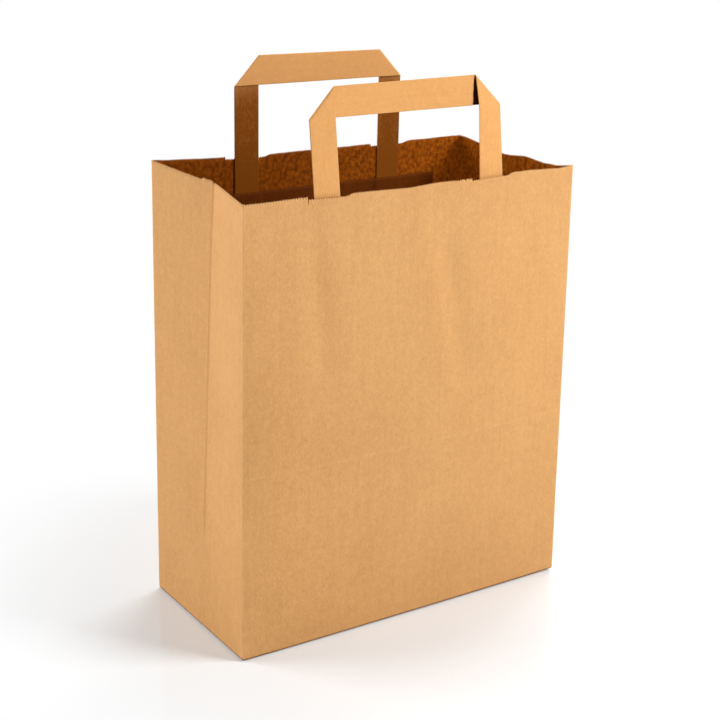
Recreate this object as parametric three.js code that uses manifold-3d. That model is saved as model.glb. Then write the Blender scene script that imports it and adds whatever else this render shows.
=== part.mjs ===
// Flat-handled kraft paper carrier bag, standing open on its block bottom.
// Millimetres. X runs along the front panel, Y from front to back, Z up from the middle of the base.
import * as THREE from 'three';
import { mergeVertices } from 'three/addons/utils/BufferGeometryUtils.js';
import Module from 'manifold-3d';

// Paper
const PAPER = 0.2; // one ply of the bag
const GLUE_LINE = 0.3; // clear space between two papers that are glued together

// Bag body
const BAG_WIDTH = 260;
const BAG_DEPTH = 130; // of the base, and of a gusset pulled flat
const BAG_HEIGHT = 310;
const LEFT_MOUTH_INSET = 14; // how far a gusset's middle crease stands in at the rim
const RIGHT_MOUTH_INSET = 3;
const APEX_INSET = 5.5; // the same where the gusset's creases meet
const KNEE = 0.8; // how far the cross crease stands out of the front panel
const FLAP_LAP = 24; // overlap of the two base flaps
const FLAP_EDGE_GAP = 0.6; // groove along the free edge of the outer base flap
const SEAM_WIDTH = 18; // glued overlap that closes the tube, on the rear panel
const SEAM_TO_EDGE = 6;

// Handles: one flat tape each, folded over at 45 degrees at both top corners
const TAPE_WIDTH = 19.2;
const TAPE_THICKNESS = 0.6; // several plies folded together
const TIGHT_FOLD = 0.3; // space between the two layers at a pressed fold
const LOOSE_FOLD = 2.4; // the same at the front handle's right fold, which has sprung open
const FRONT_SPAN = 148; // over both legs
const FRONT_OFFSET = -5.3; // middle of the handle from the middle of its panel
const FRONT_RISE = 65; // top of the handle above the rim, along the tape
const FRONT_LEAN = 8.5; // degrees, inwards
const REAR_SPAN = 139;
const REAR_OFFSET = 2.8;
const REAR_RISE = 68;
const REAR_LEAN = 1;
const BEND_BELOW_RIM = 8; // where a leg starts to lean
const BEND_LENGTH = 12;

// Patches glued over the tails of the handles, inside the bag
const PATCH_THICKNESS = 0.3;
const PATCH_HEIGHT = 45;
const PATCH_BELOW_RIM = 25.5;
const PATCH_MARGIN = 30; // patch beyond the outer edge of a leg
const PATCH_RAMP = 3; // width over which the patch climbs onto a leg
const TAIL_LENGTH = 35; // leg below the top edge of the patch

// Rim notches at the legs
const NOTCH_DEPTH = 2.6;
const NOTCH_MARGIN = 6; // notch beyond the edges of the leg, at the rim
const NOTCH_SLOPE = 3; // how much narrower the notch is at its bottom, on each side

// Fineness of the surfaces
const PANEL_COLUMNS = 4;
const UPPER_ROWS = 4;
const FOLD_STEPS = 8;
const BEND_STEPS = 4;

// Derived
const APEX_HEIGHT = BAG_DEPTH / 2; // a 45 degree crease from each base corner ends here
const CREASE_HEIGHT = BAG_DEPTH; // the base folds up flat against the panel and ends here
const FLOOR = 2 * PAPER;
const FLAP_LENGTH = (BAG_DEPTH + FLAP_LAP) / 2;
const OVERCUT = 1; // cutters reach this far past what they cut

const wasm = await Module();
wasm.setup();

const kraft = { color: 0xd7a063, roughness: 0.9, metalness: 0 };
const tapeKraft = { color: 0xe0aa6c, roughness: 0.85, metalness: 0 };
const patchKraft = { color: 0xc08a50, roughness: 0.9, metalness: 0 };

// A closed surface through rings of equal point counts, each ring counter-clockwise about its path.
// Quads that start at a point for which risesBack is true are split along the other diagonal.
// The ends are fans about each ring's last point.
function loft(rings, risesBack = () => false) {
  const count = rings[0].length;
  const positions = rings.flat().flatMap((point) => point.toArray());
  const faces = [];
  for (let row = 0; row + 1 < rings.length; row++) {
    for (let i = 0; i < count; i++) {
      const next = (i + 1) % count;
      const a = row * count + i;
      const b = row * count + next;
      const c = b + count;
      const d = a + count;
      if (risesBack(i)) faces.push(a, b, d, b, c, d);
      else faces.push(a, b, c, a, c, d);
    }
  }
  const top = (rings.length - 1) * count;
  const hub = count - 1;
  for (let i = 0; i + 1 < hub; i++) {
    faces.push(hub, i + 1, i);
    faces.push(top + hub, top + i, top + i + 1);
  }
  const geometry = new THREE.BufferGeometry();
  geometry.setAttribute('position', new THREE.Float32BufferAttribute(positions, 3));
  geometry.setIndex(faces);
  geometry.computeVertexNormals();
  return geometry;
}

function toSolid(geometry) {
  const bare = geometry.clone();
  bare.deleteAttribute('normal');
  bare.deleteAttribute('uv');
  const merged = mergeVertices(bare);
  return new wasm.Manifold(new wasm.Mesh({
    numProp: 3,
    vertProperties: merged.attributes.position.array,
    triVerts: Uint32Array.from(merged.index.array),
  }));
}

function toGeometry(solid) {
  const mesh = solid.getMesh();
  const geometry = new THREE.BufferGeometry();
  geometry.setAttribute('position', new THREE.BufferAttribute(mesh.vertProperties, 3));
  geometry.setIndex(new THREE.BufferAttribute(mesh.triVerts, 1));
  geometry.computeVertexNormals();
  return geometry;
}

// A flat outline, [x, y] points counter-clockwise, raised from one height to another.
function prism(outline, bottom, top) {
  const shape = new THREE.Shape(outline.map(([x, y]) => new THREE.Vector2(x, y)));
  const geometry = new THREE.ExtrudeGeometry(shape, { depth: top - bottom, bevelEnabled: false });
  return geometry.translate(0, 0, bottom);
}

// Inset of a gusset's middle crease: it grows from the base to the apex, then on to the rim.
function insetAt(z, mouthInset) {
  if (z <= APEX_HEIGHT) return (APEX_INSET * z) / APEX_HEIGHT;
  const share = (z - APEX_HEIGHT) / (BAG_HEIGHT - APEX_HEIGHT);
  return APEX_INSET + (mouthInset - APEX_INSET) * share;
}

// Half the distance between the panels. Each half gusset keeps its width while its crease moves in,
// so the panels come together a little towards the rim.
function halfDepthAt(x, z) {
  const left = Math.sqrt((BAG_DEPTH / 2) ** 2 - insetAt(z, LEFT_MOUTH_INSET) ** 2);
  const right = Math.sqrt((BAG_DEPTH / 2) ** 2 - insetAt(z, RIGHT_MOUTH_INSET) ** 2);
  return THREE.MathUtils.lerp(left, right, x / BAG_WIDTH + 0.5);
}

// The bag's outline at a height, a given distance inside its outer face.
// It runs along the front panel, round the right gusset, back along the rear panel and round the left one.
function outlineAt(z, inside) {
  const halfWidth = BAG_WIDTH / 2 - inside;
  const knee = z === CREASE_HEIGHT ? KNEE : 0;
  const front = [];
  const rear = [];
  for (let i = 0; i <= PANEL_COLUMNS; i++) {
    const share = (2 * i) / PANEL_COLUMNS - 1;
    const x = halfWidth * share;
    const y = halfDepthAt(x, z) - inside;
    front.push(new THREE.Vector3(x, -y - knee * (1 - share ** 2), z));
    rear.unshift(new THREE.Vector3(x, y, z));
  }
  const rightCrease = new THREE.Vector3(halfWidth - insetAt(z, RIGHT_MOUTH_INSET), 0, z);
  const leftCrease = new THREE.Vector3(insetAt(z, LEFT_MOUTH_INSET) - halfWidth, 0, z);
  return [...front, rightCrease, ...rear, leftCrease];
}

const startsAtGussetCrease = (i) => i % (PANEL_COLUMNS + 2) === PANEL_COLUMNS + 1;

function rowsBetween(bottom, top) {
  const rows = [bottom, APEX_HEIGHT, CREASE_HEIGHT];
  for (let i = 1; i < UPPER_ROWS; i++) {
    rows.push(CREASE_HEIGHT + ((BAG_HEIGHT - CREASE_HEIGHT) * i) / UPPER_ROWS);
  }
  return [...rows, top];
}

// The tube with its V-folded gussets and a floor of two plies.
function openShell() {
  const outer = rowsBetween(0, BAG_HEIGHT).map((z) => outlineAt(z, 0));
  const inner = rowsBetween(FLOOR, BAG_HEIGHT + OVERCUT).map((z) => outlineAt(z, PAPER));
  return toSolid(loft(outer, startsAtGussetCrease)).subtract(toSolid(loft(inner, startsAtGussetCrease)));
}

// Underside of the base, where it lies one ply higher than the two outer flaps: a triangle at each end,
// between the flaps' mitred ends, and a groove along the free edge of the outer flap, which lies on the other.
function baseRelief() {
  const end = BAG_WIDTH / 2 + OVERCUT;
  const reach = BAG_DEPTH / 2 + OVERCUT;
  const meet = (BAG_WIDTH - BAG_DEPTH + FLAP_EDGE_GAP) / 2;
  const tip = BAG_WIDTH / 2 - FLAP_LENGTH;
  const edge = FLAP_LAP / 2;
  const outer = [[-end, -reach], [-tip, edge], [tip, edge], [end, -reach]];
  const groove = [[meet, FLAP_EDGE_GAP / 2], [tip, edge + FLAP_EDGE_GAP]];
  const mirrored = groove.map(([x, y]) => [-x, y]).reverse();
  return toSolid(prism([...outer, [end, reach], ...groove, ...mirrored, [-end, reach]], -OVERCUT, PAPER));
}

// Inside of an end: the side flap, folded in first and glued under the other two.
function sideFlap(side) {
  const near = BAG_WIDTH / 2 - PAPER / 2;
  const far = BAG_WIDTH / 2 - FLAP_LENGTH;
  const reach = BAG_DEPTH / 2 - PAPER / 2;
  const [left, right] = side > 0 ? [far, near] : [-near, -far];
  const outline = [[left, -reach], [right, -reach], [right, reach], [left, reach]];
  return toSolid(prism(outline, FLOOR - PAPER / 2, FLOOR + PAPER));
}

// The second ply where the tube's two edges overlap, on the outside of the rear panel.
function tubeSeam() {
  const right = BAG_WIDTH / 2 - SEAM_TO_EDGE;
  const left = right - SEAM_WIDTH;
  const rings = rowsBetween(0, BAG_HEIGHT).map((z) => [
    new THREE.Vector3(left, halfDepthAt(left, z) - PAPER / 2, z),
    new THREE.Vector3(right, halfDepthAt(right, z) - PAPER / 2, z),
    new THREE.Vector3(right, halfDepthAt(right, z) + PAPER, z),
    new THREE.Vector3(left, halfDepthAt(left, z) + PAPER, z),
  ]);
  return toSolid(loft(rings));
}

// A shallow cut in the rim of the panel at one leg of a handle, as seen from that panel's outside.
function rimNotch(legCentre, turned) {
  const top = BAG_HEIGHT + OVERCUT;
  const bottom = BAG_HEIGHT - NOTCH_DEPTH;
  const wide = TAPE_WIDTH / 2 + NOTCH_MARGIN;
  const narrow = wide - NOTCH_SLOPE;
  const outline = [
    [legCentre - narrow, bottom],
    [legCentre + narrow, bottom],
    [legCentre + wide, top],
    [legCentre - wide, top],
  ];
  const cutter = prism(outline, 0, BAG_DEPTH).rotateX(Math.PI / 2);
  return toSolid(turned ? cutter.rotateZ(Math.PI) : cutter);
}

const frontHandle = {
  span: FRONT_SPAN,
  offset: FRONT_OFFSET,
  rise: FRONT_RISE,
  lean: FRONT_LEAN,
  rightFold: LOOSE_FOLD,
  turned: false,
};
// The rear handle is made as a front one and turned half round with its panel.
const rearHandle = {
  span: REAR_SPAN,
  offset: -REAR_OFFSET,
  rise: REAR_RISE,
  lean: REAR_LEAN,
  rightFold: TIGHT_FOLD,
  turned: true,
};

const legCentres = (handle) => [-1, 1].map((side) => handle.offset + (side * (handle.span - TAPE_WIDTH)) / 2);

// Inner face of the handle's own panel, in the frame of a front handle.
function panelFace(handle, x, z) {
  const across = handle.turned ? -x : x;
  return PAPER - halfDepthAt(across, Math.min(z, BAG_HEIGHT));
}

// The handle's tape as a path of cross-sections, worked out flat and then laid on the panel.
// Flat: u across, v up, w away from the panel. A section runs from the tape's outer edge to its inner one.
function tapeSections(handle) {
  const top = BAG_HEIGHT + handle.rise;
  const tailEnd = BAG_HEIGHT - PATCH_BELOW_RIM - TAIL_LENGTH;
  const bendStart = BAG_HEIGHT - BEND_BELOW_RIM;
  const legLayer = GLUE_LINE + TAPE_THICKNESS / 2;
  const facing = new THREE.Vector3(0, 0, -1);

  const across = (side, v) => ({
    outer: new THREE.Vector3((side * handle.span) / 2, v, legLayer),
    inner: new THREE.Vector3(side * (handle.span / 2 - TAPE_WIDTH), v, legLayer),
    normal: facing,
  });

  // Half-round turn about the 45 degree line through the tape's corner, from the leg to the crossing strip.
  const fold = (side, gap) => {
    const radius = (TAPE_THICKNESS + gap) / 2;
    const outwards = new THREE.Vector3(side, 1, 0).normalize();
    return Array.from({ length: FOLD_STEPS + 1 }, (_, step) => {
      const angle = (Math.PI * step) / FOLD_STEPS;
      const normal = outwards.clone().multiplyScalar(Math.sin(angle));
      normal.z = -Math.cos(angle);
      const shift = normal.clone().multiplyScalar(radius);
      shift.z += legLayer + radius;
      const outer = new THREE.Vector3((side * handle.span) / 2, top - TAPE_WIDTH, 0).add(shift);
      const inner = new THREE.Vector3(side * (handle.span / 2 - TAPE_WIDTH), top, 0).add(shift);
      return { outer, inner, normal };
    });
  };

  const half = (side, gap) => {
    const leg = [across(side, tailEnd)];
    for (let step = 0; step <= BEND_STEPS; step++) {
      leg.push(across(side, bendStart + (BEND_LENGTH * step) / BEND_STEPS));
    }
    return [...leg, ...fold(side, gap)];
  };
  return [...half(-1, TIGHT_FOLD), ...half(1, handle.rightFold).reverse()];
}

// Lays a flat point of the tape on the panel: above the bend it leans inwards, round an arc and then straight.
function laid(handle, point) {
  const start = BAG_HEIGHT - BEND_BELOW_RIM;
  const lean = THREE.MathUtils.degToRad(handle.lean);
  const radius = BEND_LENGTH / lean;
  const along = Math.max(point.y - start, 0);
  const turn = Math.min(along / radius, lean);
  const straight = Math.max(along - BEND_LENGTH, 0);
  const z = Math.min(point.y, start) + (radius - point.z) * Math.sin(turn) + straight * Math.cos(lean);
  const away = radius - (radius - point.z) * Math.cos(turn) + straight * Math.sin(lean);
  const x = handle.offset + point.x;
  return new THREE.Vector3(x, panelFace(handle, x, z) + away, z);
}

function handleTape(handle) {
  const rings = tapeSections(handle).map(({ outer, inner, normal }) => {
    const half = normal.clone().multiplyScalar(TAPE_THICKNESS / 2);
    const corners = [outer.clone().add(half), inner.clone().add(half), inner.clone().sub(half), outer.clone().sub(half)];
    return corners.map((corner) => laid(handle, corner));
  });
  return loft(rings);
}

// The patch lies on the panel and climbs over the tail of each leg.
function patch(handle) {
  const low = GLUE_LINE;
  const high = low + TAPE_THICKNESS + GLUE_LINE;
  const reach = handle.span / 2 + PATCH_MARGIN;
  const face = [[handle.offset - reach, low]];
  for (const centre of legCentres(handle)) {
    const flat = TAPE_WIDTH / 2 + GLUE_LINE;
    const foot = flat + PATCH_RAMP;
    face.push([centre - foot, low], [centre - flat, high], [centre + flat, high], [centre + foot, low]);
  }
  face.push([handle.offset + reach, low]);
  const back = face.map(([x, w]) => [x, w + PATCH_THICKNESS]).reverse();
  const top = BAG_HEIGHT - PATCH_BELOW_RIM;
  const geometry = prism([...face, ...back], top - PATCH_HEIGHT, top);
  const points = geometry.attributes.position;
  for (let i = 0; i < points.count; i++) {
    points.setY(i, points.getY(i) + panelFace(handle, points.getX(i), points.getZ(i)));
  }
  geometry.computeVertexNormals();
  return geometry;
}

function bagBody() {
  let body = openShell().add(tubeSeam());
  body = body.subtract(baseRelief()).add(sideFlap(-1)).add(sideFlap(1));
  for (const handle of [frontHandle, rearHandle]) {
    for (const centre of legCentres(handle)) {
      body = body.subtract(rimNotch(centre, handle.turned));
    }
  }
  return toGeometry(body);
}

function part(name, geometry, finish) {
  const mesh = new THREE.Mesh(geometry, new THREE.MeshStandardMaterial(finish));
  mesh.name = name;
  return mesh;
}

const front = new THREE.Group();
front.add(part('front_handle', handleTape(frontHandle), tapeKraft));
front.add(part('front_patch', patch(frontHandle), patchKraft));

const rear = new THREE.Group();
rear.rotation.z = Math.PI;
rear.add(part('rear_handle', handleTape(rearHandle), tapeKraft));
rear.add(part('rear_patch', patch(rearHandle), patchKraft));

const bag = new THREE.Group();
bag.add(part('bag_body', bagBody(), kraft), front, rear);

export default bag;
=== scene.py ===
"""Dresses a kraft paper carrier bag: one folded sheet, two folded tape handles and the patches over them.

Metres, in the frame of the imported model: X along the front panel, Y from front to back, Z up from the base.
A point of the bag is found from its place on the flat sheet: s across it, from the inner edge of the tube
seam on the rear panel, and v up it, from the fold at the base.
"""

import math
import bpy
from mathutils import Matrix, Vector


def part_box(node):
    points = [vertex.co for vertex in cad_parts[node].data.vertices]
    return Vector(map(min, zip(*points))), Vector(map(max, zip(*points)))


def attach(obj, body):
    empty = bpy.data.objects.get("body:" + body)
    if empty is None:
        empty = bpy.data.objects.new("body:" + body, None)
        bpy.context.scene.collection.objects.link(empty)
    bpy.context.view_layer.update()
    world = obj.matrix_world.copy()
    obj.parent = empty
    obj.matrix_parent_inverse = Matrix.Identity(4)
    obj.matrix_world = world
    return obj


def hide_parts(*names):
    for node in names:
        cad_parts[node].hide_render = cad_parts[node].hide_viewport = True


bl_info = {
    "name": "Kraft Carrier Bag",
    "version": (1, 0, 0),
    "blender": (4, 5, 0),
    "location": "View3D > Sidebar > Carrier Bag",
    "description": "Folds a paper carrier bag with flat handles from the sizes of its flat sheets",
    "category": "Add Mesh",
}

import bpy
import numpy as np
from bpy.props import FloatProperty, FloatVectorProperty, PointerProperty
from bpy.types import Operator, Panel, PropertyGroup
from mathutils import Matrix, Vector

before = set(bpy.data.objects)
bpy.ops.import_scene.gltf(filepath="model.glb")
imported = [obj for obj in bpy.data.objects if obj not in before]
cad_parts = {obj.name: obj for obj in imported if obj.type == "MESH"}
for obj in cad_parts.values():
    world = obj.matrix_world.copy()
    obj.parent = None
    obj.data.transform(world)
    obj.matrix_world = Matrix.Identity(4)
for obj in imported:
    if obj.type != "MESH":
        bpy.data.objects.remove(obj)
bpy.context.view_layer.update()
BODY_LOW, BODY_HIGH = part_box("bag_body")

MM = 0.001
FRONT, REAR = -1, 1  # sign of Y on the side of the bag


# Properties


def length(name, description, default):
    """A size in metres that the sidebar shows as a length."""
    return FloatProperty(name=name, description=description, default=default, unit="LENGTH", precision=4)


def angle(name, description, degrees):
    """An angle in radians that the sidebar shows in degrees."""
    return FloatProperty(name=name, description=description, default=math.radians(degrees), unit="ROTATION")


def colour(name, description, default):
    """A linear RGBA colour, written as its three numbers."""
    return FloatVectorProperty(
        name=name, description=description, default=(*default, 1), size=4, subtype="COLOR", min=0, max=1
    )


def strength(name, description, default, unit="POWER"):
    """A strength of light, in watts for a lamp."""
    return FloatProperty(name=name, description=description, default=default, min=0.0, unit=unit)


class BagSizes(PropertyGroup):
    """The bag's sheet and its folds."""

    width: length("Width", "Front panel from fold to fold", BODY_HIGH.x - BODY_LOW.x)
    depth: length("Depth", "Base from front to back, and a gusset pulled flat", 130 * MM)
    height: length("Height", "Base fold to rim", BODY_HIGH.z)
    paper: length("Paper", "Thickness of the sheet", 0.2 * MM)
    left_inset: length("Left inset", "How far the left gusset's crease stands in at the rim", 14 * MM)
    right_inset: length("Right inset", "How far the right gusset's crease stands in at the rim", 3 * MM)
    apex_inset: length("Apex inset", "How far a gusset stands in where its creases meet", 5.5 * MM)
    knee: length("Knee", "How far the cross crease stands out of the front panel", 0.8 * MM)
    left_flare: length("Left flare", "How much farther out the left side stands at the base", 2.6 * MM)
    right_flare: length("Right flare", "How much farther out the right side stands at the base", 5.1 * MM)
    pinch: length("Pinch", "How far the rear left fold stands forward at the base", 4.9 * MM)
    belly: length("Belly", "How far the front panel is rounded outwards", 4 * MM)
    flap_lap: length("Flap lap", "Overlap of the two base flaps", 24 * MM)
    seam_width: length("Seam width", "Glued overlap that closes the tube", 18 * MM)
    seam_to_edge: length("Seam to edge", "Tube seam from the rear panel's right fold", 6 * MM)
    fold_radius: length("Fold radius", "Roundness of the four upright folds", 0.15 * MM)
    crease_radius: length("Crease radius", "Roundness of the gusset creases", 5 * MM)
    slack_corner: length("Slack corner", "Extra roundness of the rear right fold at the rim", 0.8 * MM)
    notch_depth: length("Notch depth", "Rim notch at each leg of a handle", 1.6 * MM)
    tooth_pitch: length("Tooth pitch", "Distance between the teeth of the cut rim", 1.9 * MM)
    tooth_height: length("Tooth height", "Height of the teeth of the cut rim", 1.0 * MM)


class TapeSizes(PropertyGroup):
    """What the two handles and their patches share."""

    width: length("Tape width", "Width of the handle tape", 19.2 * MM)
    thickness: length("Tape thickness", "Thickness of the folded tape", 0.6 * MM)
    glue_line: length("Glue line", "Space between two glued papers", 0.3 * MM)
    tail: length("Tail", "Leg below the top edge of the patch", 35 * MM)
    bend_below_rim: length("Bend below rim", "Where a leg starts to lean", 18 * MM)
    bend_length: length("Bend length", "Tape over which a leg bends", 12 * MM)
    patch_thickness: length("Patch thickness", "Thickness of the patch paper", 0.3 * MM)
    patch_height: length("Patch height", "Patch from edge to edge", 45 * MM)
    patch_below_rim: length("Patch below rim", "Top edge of the patch under the rim", 24.8 * MM)
    patch_margin: length("Patch margin", "Patch beyond the outer edge of a leg", 33 * MM)
    patch_ramp: length("Patch ramp", "Width over which the patch climbs onto a leg", 3 * MM)


def handle_sizes(span, offset, rise, lean, left_gap, twist, pocket, left_lift, right_lift):
    """Properties of one handle, from their defaults in mm and degrees."""
    return {
        "span": length("Span", "Over both legs", span * MM),
        "offset": length("Offset", "Middle of the handle from the middle of its panel", offset * MM),
        "rise": length("Rise", "Top of the handle above the rim, along the tape", rise * MM),
        "lean": angle("Lean", "Lean towards the inside of the bag", lean),
        "left_gap": length("Left gap", "Space between the layers at the left fold", left_gap * MM),
        "twist": angle("Twist", "Turn of the right leg about its outer edge", twist),
        "pocket": length("Pocket", "How far the strip falls back behind the right leg", pocket * MM),
        "left_lift": length("Left lift", "How much higher the left end stands", left_lift * MM),
        "right_lift": length("Right lift", "How much higher the right end stands", right_lift * MM),
    }


class FrontHandle(PropertyGroup):
    """The front handle, whose right fold has sprung open."""

    __annotations__ = handle_sizes(148.0, -5.3, 65, 7.8, 1.2, 7.5, 4.5, 0.0, 1.1)


class RearHandle(PropertyGroup):
    """The rear handle, with both folds pressed."""

    __annotations__ = handle_sizes(138.2, 1.9, 68, 0.1, 0.3, 0.0, 0.0, 1.9, 0.4)


class PaperColours(PropertyGroup):
    """Colours of the papers, lit plainly; several of them hold painted shade."""

    outside: colour("Outside", "Kraft paper, outer side", (0.710, 0.376, 0.142))
    outside_shade: colour("Outside shade", "Darker streaks of the outer side", (0.567, 0.280, 0.094))
    worn: colour("Worn folds", "Scuffed paper along a fold", (0.77, 0.455, 0.205))
    # The inner side is the same kraft made darker: painted shade of the bag's inside.
    inside: colour("Inside", "Kraft paper, inner side", (0.33, 0.082, 0.004))
    inside_shade: colour("Inside shade", "Darker clouds of the inner side", (0.125, 0.027, 0.001))
    inside_spot: colour("Inside spots", "Bare places of the inner side", (0.45, 0.14, 0.010))
    tape: colour("Tape", "Handle tape", (0.76, 0.384, 0.137))
    tape_shade: colour("Tape shade", "Darker streaks of the handle tape", (0.64, 0.300, 0.096))
    # painted shade: the legs' side facing into the bag, and their feet under the rim
    leg_shade: colour("Glued tape", "Legs on the side that faces into the bag", (0.225, 0.062, 0.003))
    # painted shade: the tape deep in the right fold's open pocket
    pocket_shade: colour("Inside fold", "Tape inside an open fold", (0.05, 0.016, 0.003))
    # painted shade: the patch paper is darker still, where no light comes through its layers
    patch: colour("Patch", "Patch paper", (0.15, 0.035, 0.003))
    patch_shade: colour("Patch shade", "Darker clouds of the patch paper", (0.095, 0.021, 0.0015))


class StageSettings(PropertyGroup):
    """Floor and light."""

    floor: colour("Floor", "Floor near the bag", (0.850, 0.880, 0.900))
    surround: strength("Surround", "Even light from all sides", 0.217, "NONE")
    key: strength("Key", "Lamp in front, on the right", 24.7)
    top: strength("Top", "Lamp above and behind, on the right", 28.3)
    side: strength("Side", "Lamp behind, on the left", 36.2)


class CarrierBag(PropertyGroup):
    """All settings of the bag and its stage."""

    bag: PointerProperty(type=BagSizes)
    tape: PointerProperty(type=TapeSizes)
    front_handle: PointerProperty(type=FrontHandle)
    rear_handle: PointerProperty(type=RearHandle)
    colours: PointerProperty(type=PaperColours)
    stage: PointerProperty(type=StageSettings)


# Curves that the surfaces are made of


def ramp(x, radius):
    """Nothing before zero and x after it, rounded at the turn: half of x + sqrt(x² + radius²)."""
    return 0.5 * (x + np.sqrt(x * x + radius * radius))


def ramp_slope(x, radius):
    """Slope of the ramp: half of 1 + x / sqrt(x² + radius²)."""
    return 0.5 * (1 + x / np.sqrt(x * x + radius * radius))


def step(x, start, end):
    """Rises from 0 at start to 1 at end as 3t² - 2t³."""
    t = np.clip((x - start) / (end - start), 0, 1)
    return t * t * (3 - 2 * t)


def mound(x, centre, width):
    """A soft mound of height 1: e to the minus square of the distance from its centre in widths."""
    return np.exp(-(((x - centre) / width) ** 2))


def tooth_wave(x, pitch):
    """A triangle wave between 0 and 1, at 0 on whole pitches."""
    share = (x / pitch) % 1
    return 1 - np.abs(2 * share - 1)


def wander(x, pitch, seed):
    """A smooth random line between -1 and 1: seeded values a pitch apart, each eased into the next."""
    values = np.random.default_rng(seed).uniform(-1, 1, 1024)
    place = x / pitch
    below = np.floor(place).astype(int)
    share = step(place - below, 0, 1)
    return values[below % 1024] * (1 - share) + values[(below + 1) % 1024] * share


# The folded sheet


class Folds:
    """Places of the upright folds across the flat sheet."""

    def __init__(self, bag):
        self.rear_left = bag.width - bag.seam_to_edge
        self.front_left = self.rear_left + bag.depth
        self.front_right = self.front_left + bag.width
        self.rear_right = self.front_right + bag.depth
        self.lap = self.rear_right + bag.seam_to_edge
        self.end = self.lap + bag.seam_width
        self.corners = (self.rear_left, self.front_left, self.front_right, self.rear_right)

    def nearest(self, s):
        """Distance across the sheet to the nearest upright fold."""
        return np.stack([np.abs(s - corner) for corner in self.corners]).min(0)

    def on_panel(self, bag, side, x):
        """Place across the sheet of a point of the front or rear panel, from its X."""
        if side == FRONT:
            return self.front_left + bag.width / 2 + x
        return bag.width / 2 - bag.seam_to_edge - x


def gusset_inset(bag, z, mouth_inset):
    """Inset of a gusset's crease: it grows evenly from the base to the apex, then evenly to the rim."""
    apex = bag.depth / 2
    lower = bag.apex_inset * z / apex
    upper = bag.apex_inset + (mouth_inset - bag.apex_inset) * (z - apex) / (bag.height - apex)
    return np.where(z < apex, lower, upper)


RIM_STRAIGHT = 60 * MM  # wall under the rim over which the gusset creases sharpen
PINCH_LOST = 0.65  # share of the pinch that is gone at the rim


def plan_curve(bag, s, z):
    """Level section of the bag: X, Y and the outward direction at s across the sheet, at height z.

    The section is a chain of straight runs. Its direction changes at each fold, so a coordinate is the start
    plus the first run's slope times s plus, for each fold, the change of slope times a ramp from there on.
    Under the apex a gusset has a level middle run, whose ends lie z from the corners: the 45 degree creases.
    The pinch then moves the rear left fold forward, by a share that falls evenly to the next folds.
    """
    folds = Folds(bag)
    apex = bag.depth / 2
    z = np.maximum(z, 0.01 * MM)
    reach = np.minimum(z, apex)
    left = gusset_inset(bag, z, bag.left_inset)
    right = gusset_inset(bag, z, bag.right_inset)
    left_half = np.sqrt(apex**2 - left**2)
    right_half = np.sqrt(apex**2 - right**2)
    taper = (left_half - right_half) / bag.width
    rounded = bag.crease_radius * step(bag.height - z, -5 * MM, RIM_STRAIGHT) * step(z, 0, apex)
    rounded = rounded + bag.fold_radius
    forward = -left_half / apex
    backward = right_half / apex
    runs = [
        (-1, taper),
        (left / reach, forward),
        (0, forward),
        (-left / reach, forward),
        (1, taper),
        (-right / reach, backward),
        (0, backward),
        (right / reach, backward),
        (-1, taper),
    ]
    turns = [
        (folds.rear_left, bag.fold_radius),
        (folds.rear_left + reach, rounded),
        (folds.front_left - reach, rounded),
        (folds.front_left, bag.fold_radius),
        (folds.front_right, bag.fold_radius),
        (folds.front_right + reach, rounded),
        (folds.rear_right - reach, rounded),
        (folds.rear_right, bag.fold_radius + bag.slack_corner * step(z, bag.height * 0.75, bag.height)),
    ]
    start = (bag.width / 2 - bag.seam_to_edge, right_half + taper * bag.seam_to_edge)
    place = []
    along = []
    for axis in (0, 1):
        coordinate = start[axis] + runs[0][axis] * s
        slope = runs[0][axis]
        for (fold, radius), before, after in zip(turns, runs, runs[1:]):
            change = after[axis] - before[axis]
            coordinate = coordinate + change * ramp(s - fold, radius)
            slope = slope + change * ramp_slope(s - fold, radius)
        place.append(coordinate)
        along.append(slope)
    speed = np.hypot(*along)
    pinch_share = np.interp(s, [0, folds.rear_left, folds.front_left], [0, 1, 0])
    pinched = pinch_share * bag.pinch * (1 - PINCH_LOST * z / bag.height)
    return place[0], place[1] - pinched, along[1] / speed, -along[0] / speed


# Soft dents of the front panel: X at their top and bottom, their heights, half width and depth
DENTS = (
    (-81 * MM, -72 * MM, 285 * MM, 196 * MM, 9 * MM, 1.3 * MM),
    (19 * MM, 37 * MM, 285 * MM, 180 * MM, 10 * MM, 1.3 * MM),
)
KNEE_REACH = 45 * MM  # panel above and below the cross crease that it lifts
DENT_FADE = 30 * MM
WAVE_DEPTH = 0.5 * MM
LAP_STEP = 2 * MM  # width over which the sheet climbs onto the seam


def swell(bag, s, z):
    """How far the paper stands out of its level section: knee at the cross crease, belly, dents and waves.

    The belly falls off with the fourth power of the way to the left fold, and the square to the right.
    """
    folds = Folds(bag)
    x = s - folds.front_left - bag.width / 2
    across = np.clip(2 * x / bag.width, -1, 1)
    on_front = 1 - np.where(across < 0, across**4, across**2)
    tent = ramp(1 - np.abs(z - bag.depth) / KNEE_REACH, 0.05)
    upright = step(z, -0.2 * bag.height, 0.5 * bag.height)
    upright = upright * (1 - 0.8 * step(z, 0.6 * bag.height, bag.height))
    out = on_front * (bag.knee * np.minimum(tent, 1) + bag.belly * upright)
    for top_x, low_x, top, low, width, depth in DENTS:
        middle = top_x + (low_x - top_x) * (top - z) / (top - low)
        upright = step(z, low - DENT_FADE, low + DENT_FADE) * (1 - step(z, top - DENT_FADE, top + DENT_FADE))
        out = out - depth * mound(x, middle, width) * upright
    slack = step(folds.nearest(s), 2 * MM, 40 * MM) * step(z, 5 * MM, 60 * MM)
    out = out + WAVE_DEPTH * slack * wander(s + 0.3 * z, 70 * MM, 3) * wander(z + 0.15 * s, 90 * MM, 4)
    return out + 1.1 * bag.paper * step(s, folds.lap - LAP_STEP, folds.lap)


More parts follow.
